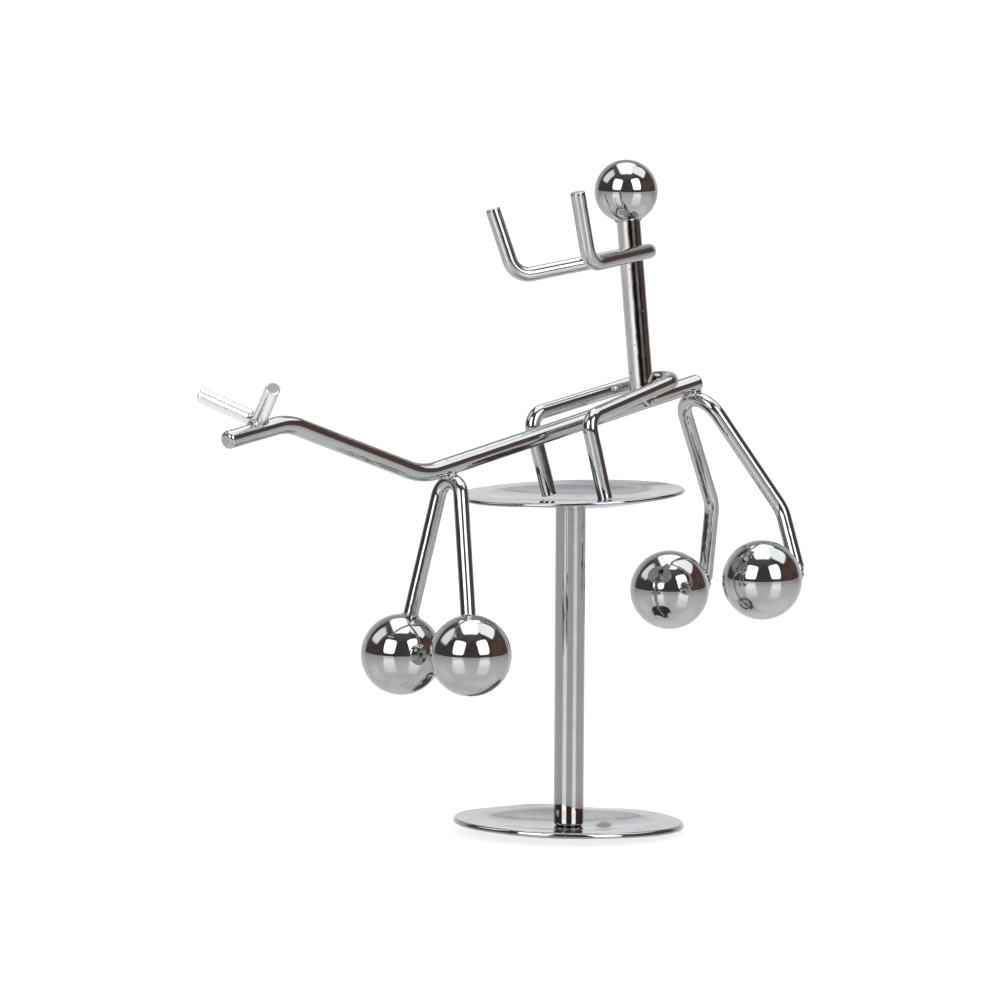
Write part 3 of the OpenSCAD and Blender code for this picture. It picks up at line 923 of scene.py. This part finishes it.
def light_panel_group():
    """A panel of light with soft edges and rounded corners in a given direction, as a mask over the sky."""
    group, given, out = new_group(
        "Light panel",
        [
            ("NodeSocketVector", "Direction", None),
            ("NodeSocketFloat", "Azimuth", 0.0),
            ("NodeSocketFloat", "Elevation", 0.0),
            ("NodeSocketFloat", "Half width", 0.3),
            ("NodeSocketFloat", "Half height", 0.3),
            ("NodeSocketFloat", "Softness", 0.15),
        ],
        [("NodeSocketFloat", "Mask")],
    )
    vector = given.outputs["Direction"]
    for axis, label in (((0, 0, 1), "Azimuth"), ((1, 0, 0), "Elevation")):
        turn = group.nodes.new("ShaderNodeVectorRotate")
        turn.inputs["Axis"].default_value = axis
        group.links.new(vector, turn.inputs["Vector"])
        group.links.new(product(group, given.outputs[label], -1.0), turn.inputs["Angle"])
        vector = turn.outputs[0]
    split = group.nodes.new("ShaderNodeSeparateXYZ")
    group.links.new(vector, split.inputs[0])
    depth = math_node(group, "MAXIMUM", split.outputs["Y"], 0.001)
    total = None
    for axis, label in (("X", "Half width"), ("Z", "Half height")):
        offset = math_node(group, "ABSOLUTE", math_node(group, "DIVIDE", split.outputs[axis], depth))
        share = math_node(group, "DIVIDE", offset, given.outputs[label])
        power = math_node(group, "POWER", share, CORNER_POWER)
        total = add(group, total, power) if total else power
    reach = math_node(group, "POWER", total, 1 / CORNER_POWER)
    inner = math_node(group, "SUBTRACT", 1.0, given.outputs["Softness"])
    outer = add(group, 1.0, given.outputs["Softness"])
    edge = smooth_range(group, reach, inner, outer, 1.0, 0.0)
    ahead = math_node(group, "GREATER_THAN", split.outputs["Y"], 0.01)
    mask = product(group, ahead, edge)
    group.links.new(mask, out.inputs["Mask"])
    return group


# Panels: azimuth from the camera's own, to the picture's right, elevation, half sizes as tangents, softness
# as a share of the half sizes, and colour
PANELS = [
    (-35.5, 26, 0.29, 0.335, 0.12, (3.3, 3.3, 3.3, 1)),
    (41, 27, 0.27, 0.35, 0.12, (3.3, 3.3, 3.3, 1)),
    (180, 80, 0.36, 0.61, 0.12, (2.1, 2.1, 2.1, 1)),
    (109, 56.5, 0.385, 0.31, 0.12, (1.62, 1.66, 1.68, 1)),
    (-97, 40, 0.27, 0.30, 0.25, (1.3, 1.3, 1.2, 1)),
]

# The room on the camera's side: low and ahead, low to the right, and overhead
ROOM = (0.090, 0.076, 0.080, 1)
ROOM_RIGHT = (0.140, 0.094, 0.080, 1)
ROOM_HIGH = (0.150, 0.142, 0.142, 1)
BACKDROP = (0.62, 0.63, 0.64, 1)
BACKDROP_HIGH = (0.40, 0.42, 0.41, 1)
# Dark patches in the room: colour, scale, where they fade in, and how strong they are
ROOM_DARK = (0.035, 0.03, 0.032, 1)
MOTTLE_SCALE, MOTTLE_EDGE, MOTTLE_SHARE = 4.5, (0.42, 0.66), 0.45
# The room's cone is turned this far to the picture's right, and fades into the backdrop between these angles
ROOM_TURN = math.radians(4.5)
ROOM_EDGE = (math.cos(math.radians(138)), math.cos(math.radians(122)))
# A dark seam across the backdrop: the middle and half width of its height in a direction, and its strength
SEAM_HEIGHT = math.sin(math.radians(13))
SEAM_HALF = 0.022
SEAM_COLOUR, SEAM_SHARE = (0.2, 0.21, 0.22, 1), 0.5
# How much of the white behind the object shows in metal and glass, how much of that the seam takes away, and
# how much of the table's white shows in them
WHITE_SHARE, SEAM_HIDES = 0.6, 0.7
TABLE_WHITE_SHARE = 0.17


def seen_white(tree, mirrored_share):
    """How much of the white is seen: all of it by the camera, and a share of it in metal and glass."""
    path = tree.nodes.new("ShaderNodeLightPath").outputs
    mirrored = add(tree, path["Is Glossy Ray"], path["Is Transmission Ray"], clamp=True)
    return add(tree, path["Is Camera Ray"], product(tree, mirrored, mirrored_share), clamp=True)


def make_world():
    """A dim room with light panels on the camera's side, and a pale backdrop behind. The camera sees the
    backdrop white, and so, in part, does the metal."""
    world = bpy.data.worlds.new("Studio")
    bpy.context.scene.world = world
    world.use_nodes = True
    tree = world.node_tree
    tree.nodes.clear()
    sky = tree.nodes.new("ShaderNodeTexCoord")
    # Turned so that +Y points from the object towards the camera, and -X to the picture's right
    turned = tree.nodes.new("ShaderNodeVectorRotate")
    turned.inputs["Axis"].default_value = (0, 0, 1)
    turned.inputs["Angle"].default_value = -(math.pi - CAMERA_AZIMUTH)
    tree.links.new(sky.outputs["Generated"], turned.inputs["Vector"])
    direction = turned.outputs[0]
    split = tree.nodes.new("ShaderNodeSeparateXYZ")
    tree.links.new(direction, split.inputs[0])
    height = split.outputs["Z"]
    # The room fills a wide cone round a line towards the camera, a little to its right
    facing = dot_node(tree, direction, (-math.sin(ROOM_TURN), math.cos(ROOM_TURN), 0))
    room = smooth_range(tree, facing, *ROOM_EDGE)
    room_colour = mix_colour(tree, smooth_range(tree, split.outputs["X"], -0.3, -0.8), ROOM, ROOM_RIGHT)
    room_colour = mix_colour(tree, smooth_range(tree, height, 0.55, 0.95), room_colour, ROOM_HIGH)
    mottle = noise_node(tree, direction, MOTTLE_SCALE, 3.0)
    mottle = smooth_range(tree, mottle, *MOTTLE_EDGE, 0.0, MOTTLE_SHARE)
    room_colour = mix_colour(tree, mottle, room_colour, ROOM_DARK)
    backdrop = mix_colour(tree, smooth_range(tree, height, 0.1, 0.8), BACKDROP, BACKDROP_HIGH)
    seam = band(tree, height, SEAM_HEIGHT, SEAM_HALF)
    backdrop = mix_colour(tree, product(tree, seam, SEAM_SHARE), backdrop, SEAM_COLOUR)
    colour = mix_colour(tree, room, backdrop, room_colour)
    group = light_panel_group()
    for azimuth, elevation, half_w, half_h, soft, shine in PANELS:
        panel = tree.nodes.new("ShaderNodeGroup")
        panel.node_tree = group
        tree.links.new(direction, panel.inputs["Direction"])
        for label, value in (
            ("Azimuth", math.radians(azimuth)),
            ("Elevation", math.radians(elevation)),
            ("Half width", half_w),
            ("Half height", half_h),
            ("Softness", soft),
        ):
            panel.inputs[label].default_value = value
        colour = mix_colour(tree, panel.outputs["Mask"], colour, shine)
    light = tree.nodes.new("ShaderNodeBackground")
    tree.links.new(colour, light.inputs["Color"])
    white = tree.nodes.new("ShaderNodeBackground")
    white.inputs["Color"].default_value = (1, 1, 1, 1)
    # Behind the object and low down, metal and glass show the white too, except along the backdrop's seam
    behind = smooth_range(tree, split.outputs["Y"], -0.99, -0.75, 1.0, 0.0)
    low = smooth_range(tree, height, 0.5, 0.15)
    off_seam = math_node(tree, "SUBTRACT", 1.0, product(tree, seam, SEAM_HIDES))
    shown = seen_white(tree, product(tree, behind, low, WHITE_SHARE, off_seam))
    choose = tree.nodes.new("ShaderNodeMixShader")
    tree.links.new(shown, choose.inputs["Fac"])
    tree.links.new(light.outputs[0], choose.inputs[1])
    tree.links.new(white.outputs[0], choose.inputs[2])
    out = tree.nodes.new("ShaderNodeOutputWorld")
    tree.links.new(choose.outputs[0], out.inputs["Surface"])


# The table, in metres: its radius, and how far it lies under the base disc
TABLE_R, TABLE_GAP = 9.0, 0.00002
TABLE_ROUGHNESS, TABLE_IOR = 0.19, 2.0
TABLE_NEAR, TABLE_FAR = (0.8, 0.8, 0.805, 1), (0.5, 0.5, 0.51, 1)
# Painted shade: where the table's colour darkens behind the object, as if its light fell off, in millimetres
TABLE_FADE = (60.0, 420.0)
# What the camera sees: the table's own light, and on top the light that the object can shade
TABLE_GLOW = 0.82
TABLE_LIT = (0.28, 0.28, 0.28, 1)


def make_floor():
    """A wide, pale, slightly glossy table. The camera sees it white, with the object's faint shadow."""
    work = bmesh.new()
    bmesh.ops.create_circle(work, cap_ends=True, segments=96, radius=TABLE_R)
    mesh = bpy.data.meshes.new("floor")
    work.to_mesh(mesh)
    work.free()
    floor = bpy.data.objects.new("floor", mesh)
    floor.location = (0, 0, -TABLE_GAP)
    bpy.context.scene.collection.objects.link(floor)
    material = bpy.data.materials.new("Table")
    material.use_nodes = True
    tree = material.node_tree
    plain = tree.nodes["Principled BSDF"]
    plain.inputs["Roughness"].default_value = TABLE_ROUGHNESS
    plain.inputs["IOR"].default_value = TABLE_IOR
    # Painted shade: seen in metal and by bounced light, the table is painted darker farther behind the object
    behind = dot_node(tree, millimetres(tree), PICTURE_AWAY)
    tone = mix_colour(tree, smooth_range(tree, behind, *TABLE_FADE), TABLE_NEAR, TABLE_FAR)
    tree.links.new(tone, plain.inputs["Base Color"])
    shade = tree.nodes.new("ShaderNodeBsdfDiffuse")
    shade.inputs["Color"].default_value = TABLE_LIT
    white = tree.nodes.new("ShaderNodeEmission")
    white.inputs["Strength"].default_value = TABLE_GLOW
    both = tree.nodes.new("ShaderNodeAddShader")
    tree.links.new(shade.outputs[0], both.inputs[0])
    tree.links.new(white.outputs[0], both.inputs[1])
    choose = tree.nodes.new("ShaderNodeMixShader")
    tree.links.new(seen_white(tree, TABLE_WHITE_SHARE), choose.inputs["Fac"])
    tree.links.new(plain.outputs[0], choose.inputs[1])
    tree.links.new(both.outputs[0], choose.inputs[2])
    tree.links.new(choose.outputs[0], tree.nodes["Material Output"].inputs["Surface"])
    mesh.materials.append(material)


# The camera, in metres and degrees: where it looks, from how high and how far, its last turns, and its lens
CAMERA_AIM = Vector((0.0055, 0.0060, 0.06511))
CAMERA_ELEVATION, CAMERA_DISTANCE = 5.55, 1.6
CAMERA_ROLL, CAMERA_TILT, CAMERA_PAN = -0.40, -0.0195, -0.51
CAMERA_LENS = 287.6


def make_camera():
    """The photograph's view: a long lens, from the front left, a little above the object."""
    elevation = math.radians(CAMERA_ELEVATION)
    back = Vector(
        (
            -math.sin(CAMERA_AZIMUTH) * math.cos(elevation),
            -math.cos(CAMERA_AZIMUTH) * math.cos(elevation),
            math.sin(elevation),
        )
    )
    right = unit(Vector((0, 0, 1)).cross(back))
    level = Matrix((right, back.cross(right), back))
    turn = Matrix.Identity(3)
    for degrees, axis in ((CAMERA_ROLL, "Z"), (CAMERA_TILT, "X"), (CAMERA_PAN, "Y")):
        turn = turn @ Matrix.Rotation(math.radians(degrees), 3, axis)
    data = bpy.data.cameras.new("camera")
    data.sensor_width = 36.0
    data.lens = CAMERA_LENS
    camera = bpy.data.objects.new("camera", data)
    place = Matrix.Translation(CAMERA_AIM + back * CAMERA_DISTANCE)
    camera.matrix_world = place @ (turn @ level).transposed().to_4x4()
    bpy.context.scene.collection.objects.link(camera)
    bpy.context.scene.camera = camera


# Pieces


# Offsets over which the dish's edge is eased, and rings along the dish, the rim's roundings and the underside
DISH_EASE = (-0.9, -0.45, 0.0, 0.45, 0.9)
DISH_STEP = 0.25
RIM_STEPS = 8
SLOPE_STEPS = 9
# Rings on the flat underside, from its middle outwards
FOOT_RINGS = (0.5, 4, 7, DISC_FOOT_R - 0.5)


def soft_dish(r):
    """The dish's surface with its edge eased over a millimetre or so, as the tool leaves it."""
    return sum(dish_rise(abs(r + step)) for step in DISH_EASE) / len(DISH_EASE)


def disc_profile(disc_r, thickness, rim):
    """A disc's section from the middle of its underside, round the thin rim, to the middle of its dish."""
    rim_t, (upper_in, upper_high), (lower_in, lower_high) = rim
    rim_top = DISH_DEPTH + thickness
    rim_low = rim_top - rim_t
    profile = [(r, 0.0) for r in FOOT_RINGS]
    slope = disc_r - lower_in - DISC_FOOT_R
    for k in range(SLOPE_STEPS):
        profile.append((DISC_FOOT_R + slope * k / SLOPE_STEPS, rim_low * k / SLOPE_STEPS))
    for into, high, middle, start in (
        (lower_in, lower_high, rim_low + lower_high, -90),
        (upper_in, upper_high, rim_top - upper_high, 0),
    ):
        for k in range(RIM_STEPS + 1):
            angle = math.radians(start + 90 * k / RIM_STEPS)
            profile.append((disc_r - into * (1 - math.cos(angle)), middle + high * math.sin(angle)))
    r = disc_r - upper_in - 0.2
    while r > FOOT_RINGS[0]:
        profile.append((r, thickness + soft_dish(r)))
        r -= DISH_STEP
    return profile


# The higher, the nearer to the rim a disc is bent
BEND_POWER = 1.3


def make_disc(name, node, disc_r, thickness, height, rim, bent, bumps, material):
    """A turned disc with its rim knocked slightly out of flat, by its bend and its bumps."""
    work = bmesh.new()
    right, away, all_round = bent

    def warp(p):
        reach = math.hypot(p[0], p[1])
        share = min(1.0, max(0.0, (reach - DISC_FOOT_R) / (disc_r - DISC_FOOT_R))) ** BEND_POWER
        across, beyond = p.dot(PICTURE_RIGHT), p.dot(PICTURE_AWAY)
        rise = (right * across + away * beyond) / disc_r + all_round
        for azimuth, bump in bumps:
            turn = math.degrees(math.atan2(beyond, across)) - azimuth
            turn = (turn + 180) % 360 - 180
            rise += bump * math.exp(-((turn / BUMP_REACH) ** 2))
        return Vector((0, 0, share * rise))

    add_lathe(work, disc_profile(disc_r, thickness, rim), Vector((0, 0, height)), 256, warp)
    mesh_piece(name, work, material, "stand", node)


POST_ROUND_STEPS = 10
POST_RINGS = 150
POST_DENT_SIZE, POST_DENT_SHARE = 5.0, 0.002


def post_dent(p):
    """How far the post's skin is out of round at a point."""
    return Vector((p[0], p[1], 0)) * dent(p, POST_DENT_SIZE, POST_DENT_SHARE)


def make_post():
    """The post, rounded off at both ends, where it is welded to the discs."""
    work = bmesh.new()
    rounding = []
    for k in range(POST_ROUND_STEPS + 1):
        angle = math.radians(90 / POST_ROUND_STEPS * k)
        rounding.append((POST_R - POST_EASE * (1 - math.sin(angle)), POST_EASE * (1 - math.cos(angle))))
    straight = POST_LEN - 2 * POST_EASE
    shaft = [(POST_R, POST_EASE + straight * k / POST_RINGS) for k in range(1, POST_RINGS)]
    profile = rounding + shaft + [(r, POST_LEN - z) for r, z in reversed(rounding)]
    add_lathe(work, profile, Vector((0, 0, BASE_T)), 96, post_dent)
    mesh_piece("post_rod", work, post_chrome, "stand", "post")


def stood_all(points):
    """Points of the upright figure, on the stand."""
    return [stood(p) for p in points]


POLL_BEND_R, WITHERS_BEND_R = 12.0, 14.0
# Every bent wire as its points and bends, on the stand
WIRES = {
    "spine_bar": (stood_all([NOSE, POLL, WITHERS, TAIL]), [POLL_BEND_R, WITHERS_BEND_R]),
    "ears": (stood_all(ear_points), [EAR_BEND_R]),
    "front_legs": (stood_all([front_ends[LEFT], front_corner, front_ends[RIGHT]]), [FRONT_BEND_R]),
    "rear_legs": (
        stood_all([rear_ends[LEFT], hocks[LEFT], rear_corner, hocks[RIGHT], rear_ends[RIGHT]]),
        [HOCK_BEND_R, REAR_BEND_R, HOCK_BEND_R],
    ),
    "arms": (
        stood_all([hands[LEFT], elbows[LEFT], shoulder_corner, elbows[RIGHT], hands[RIGHT]]),
        [ELBOW_BEND_R, SHOULDER_BEND_R, ELBOW_BEND_R],
    ),
    "rider_legs": (
        [foot_end(LEFT), stood(knees[LEFT]), stood(hips_corner), stood(knees[RIGHT]), foot_end(RIGHT)],
        [KNEE_BEND_R, HIP_BEND_R, KNEE_BEND_R],
    ),
    "torso": (stood_all([torso_foot, torso_top]), []),
}


NOSE_EASE, TAIL_EASE = 0.8, 0.6


def make_spine():
    """The horse's spine, with its nose and its tail rounded off."""
    work = bmesh.new()
    add_wire(work, *WIRES["spine_bar"], SPINE_R, NOSE_EASE, TAIL_EASE)
    mesh_piece("spine_rod", work, bar_chrome, "figure", "spine_bar")


def make_limbs():
    """The five thinner wires. Where a wire's ends show, they are rounded off by its ease."""
    for name, node, ease, material in (
        ("ear_wire", "ears", 0.3, ear_chrome_painted_pale),
        ("front_leg_wire", "front_legs", 0.0, wire_chrome),
        ("rear_leg_wire", "rear_legs", 0.6, wire_chrome),
        ("arm_wire", "arms", 0.35, wire_chrome),
        ("rider_leg_wire", "rider_legs", 0.12, wire_chrome),
    ):
        work = bmesh.new()
        add_wire(work, *WIRES[node], LIMB_R, ease, ease)
        mesh_piece(name, work, material, "figure", node)


def make_torso():
    """The rider's torso, a straight rod."""
    work = bmesh.new()
    add_wire(work, *WIRES["torso"], TORSO_R, around=64)
    mesh_piece("torso_rod", work, torso_chrome, "figure", "torso")


# Lumps of a rear leg's weld: how far down and how far to the camera's side of its end they lie, and radius
END_LUMPS = (
    (-2.0, 1.9, 0.6),
    (-1.2, 2.1, 0.8),
    (-0.4, 2.2, 0.95),
    (0.4, 2.0, 1.0),
    (0.5, 0.6, 1.1),
    (1.1, 1.6, 0.9),
    (1.7, 1.2, 0.7),
    (2.3, 1.0, 0.45),
)
END_LIFT = 0.2


def end_lumps(centre, ball_r, middle):
    """Weld metal that runs from a rear leg's end down on to its ball."""
    out = unit(middle - centre)
    down = unit(Vector((0, 0, -1)) + out * out[2])
    near = unit(out.cross(down))
    if near.dot(PICTURE_AWAY) > 0:
        near = -near
    return [
        (centre + unit(out * ball_r + down * drop + near * side) * (ball_r + END_LIFT), lump_r)
        for drop, side, lump_r in END_LUMPS
    ]


WELD_SEED, POST_WELD_SEED = 5, 11
# Smallest and largest radius of the front legs' weld lumps: the left leg's weld is the neater one
FRONT_LUMPS = {LEFT: (0.12, 0.24), RIGHT: (0.22, 0.45)}


def make_welds():
    """Weld metal in every crease of the figure where two pieces meet."""
    radii = {"spine_bar": SPINE_R, "torso": TORSO_R}
    shoulders = stood(Vector((TORSO_X, 0, SHOULDER_Z)))
    head = (stood(head_centre), HEAD_R)
    welds = [
        # name, first wire, second wire or ball, middle, reach, number of lumps, smallest and largest radius
        ("weld_ears", "ears", "spine_bar", stood(ear_weld), 3.0, 30, 0.4, 0.8),
        ("weld_withers", "front_legs", "spine_bar", stood(front_weld), 3.2, 36, 0.45, 0.85),
        ("weld_tail", "rear_legs", "spine_bar", stood(rear_weld), 3.4, 36, 0.5, 1.05),
        ("weld_torso", "torso", "spine_bar", stood(torso_foot), 4.4, 40, 0.4, 0.8),
        ("weld_hips", "rider_legs", "spine_bar", stood(hips_weld), 3.2, 30, 0.4, 0.75),
        ("weld_shoulders", "arms", "torso", shoulders, 4.2, 40, 0.3, 0.6),
        ("weld_neck", "torso", head, stood(torso_top), 3.2, 30, 0.2, 0.45),
    ]
    for s in SIDES:
        side = SIDE_NAMES[s]
        front = (stood(front_balls[s]), WEIGHT_R)
        rear = (stood(rear_balls[s]), WEIGHT_R)
        front_middle = stood(front_ends[s])
        rear_middle = stood(rear_balls[s] + rear_weld_way * WEIGHT_R)
        small, large = FRONT_LUMPS[s]
        welds.append((f"weld_front_{side}", "front_legs", front, front_middle, 2.4, 24, small, large))
        welds.append((f"weld_rear_{side}", "rear_legs", rear, rear_middle, 3.4, 26, 0.45, 0.9))
    dice = random.Random(WELD_SEED)
    for name, first, second, middle, reach, count, small, large in welds:
        skin_a = wire_skin(*WIRES[first], radii.get(first, LIMB_R), middle, reach)
        if isinstance(second, str):
            skin_b = wire_skin(*WIRES[second], radii.get(second, LIMB_R), middle, reach)
        else:
            skin_b = ball_skin(*second)
        spots = crease(skin_a, skin_b, middle, reach, count, dice)
        lumps = [(p, dice.uniform(small, large)) for p in spots]
        if name.startswith("weld_rear"):
            lumps += end_lumps(*second, middle)
        mesh_piece(name, melted(lumps), weld_chrome, "figure")


# Lumps round each end of the post, and how far inside its radius they lie
POST_LUMPS, POST_LUMP_INSET = 26, 0.75


def make_post_welds():
    """The weld metal round both ends of the post."""
    dice = random.Random(POST_WELD_SEED)
    for name, height, rise in (("weld_post_foot", BASE_T, 1), ("weld_post_top", POST_TOP, -1)):
        lumps = []
        for k in range(POST_LUMPS):
            angle = 2 * math.pi * (k + dice.uniform(-0.3, 0.3)) / POST_LUMPS
            reach = POST_R - POST_LUMP_INSET + dice.uniform(-0.1, 0.1)
            lift = rise * dice.uniform(0.05, 0.35)
            centre = Vector((reach * math.cos(angle), reach * math.sin(angle), height + lift))
            lumps.append((centre, dice.uniform(0.18, 0.3)))
        mesh_piece(name, melted(lumps), weld_chrome, "stand")


def make_balls():
    """The rider's head and the four weights."""
    places = {"head": (stood(head_centre), HEAD_R, "head_ball")}
    for s in SIDES:
        side = SIDE_NAMES[s]
        places[f"front_{side}_weight"] = (stood(front_balls[s]), WEIGHT_R, f"front_{side}_ball")
        places[f"rear_{side}_weight"] = (stood(rear_balls[s]), WEIGHT_R, f"rear_{side}_ball")
    for name, (centre, ball_r, node) in places.items():
        work = bmesh.new()
        add_ball(work, centre, ball_r)
        mesh_piece(name, work, ball_chrome, "figure", node)


make_camera()
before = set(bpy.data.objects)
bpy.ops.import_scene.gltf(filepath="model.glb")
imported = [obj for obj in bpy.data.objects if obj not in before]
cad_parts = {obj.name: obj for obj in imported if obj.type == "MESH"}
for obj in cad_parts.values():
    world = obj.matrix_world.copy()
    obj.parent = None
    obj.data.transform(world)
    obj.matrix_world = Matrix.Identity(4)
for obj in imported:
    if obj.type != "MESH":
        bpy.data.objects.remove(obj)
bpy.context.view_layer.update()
make_world()
make_floor()
make_disc("base_plate", "base_disc", BASE_R, BASE_T, 0.0, BASE_RIM, BASE_BENT, BASE_BUMPS, base_chrome)
make_disc("top_plate", "top_disc", TOP_R, TOP_T, POST_TOP, TOP_RIM, TOP_BENT, TOP_BUMPS, top_chrome)
make_post()
make_spine()
make_limbs()
make_torso()
make_balls()
make_welds()
make_post_welds()

bpy.context.scene.view_settings.view_transform = "Standard"
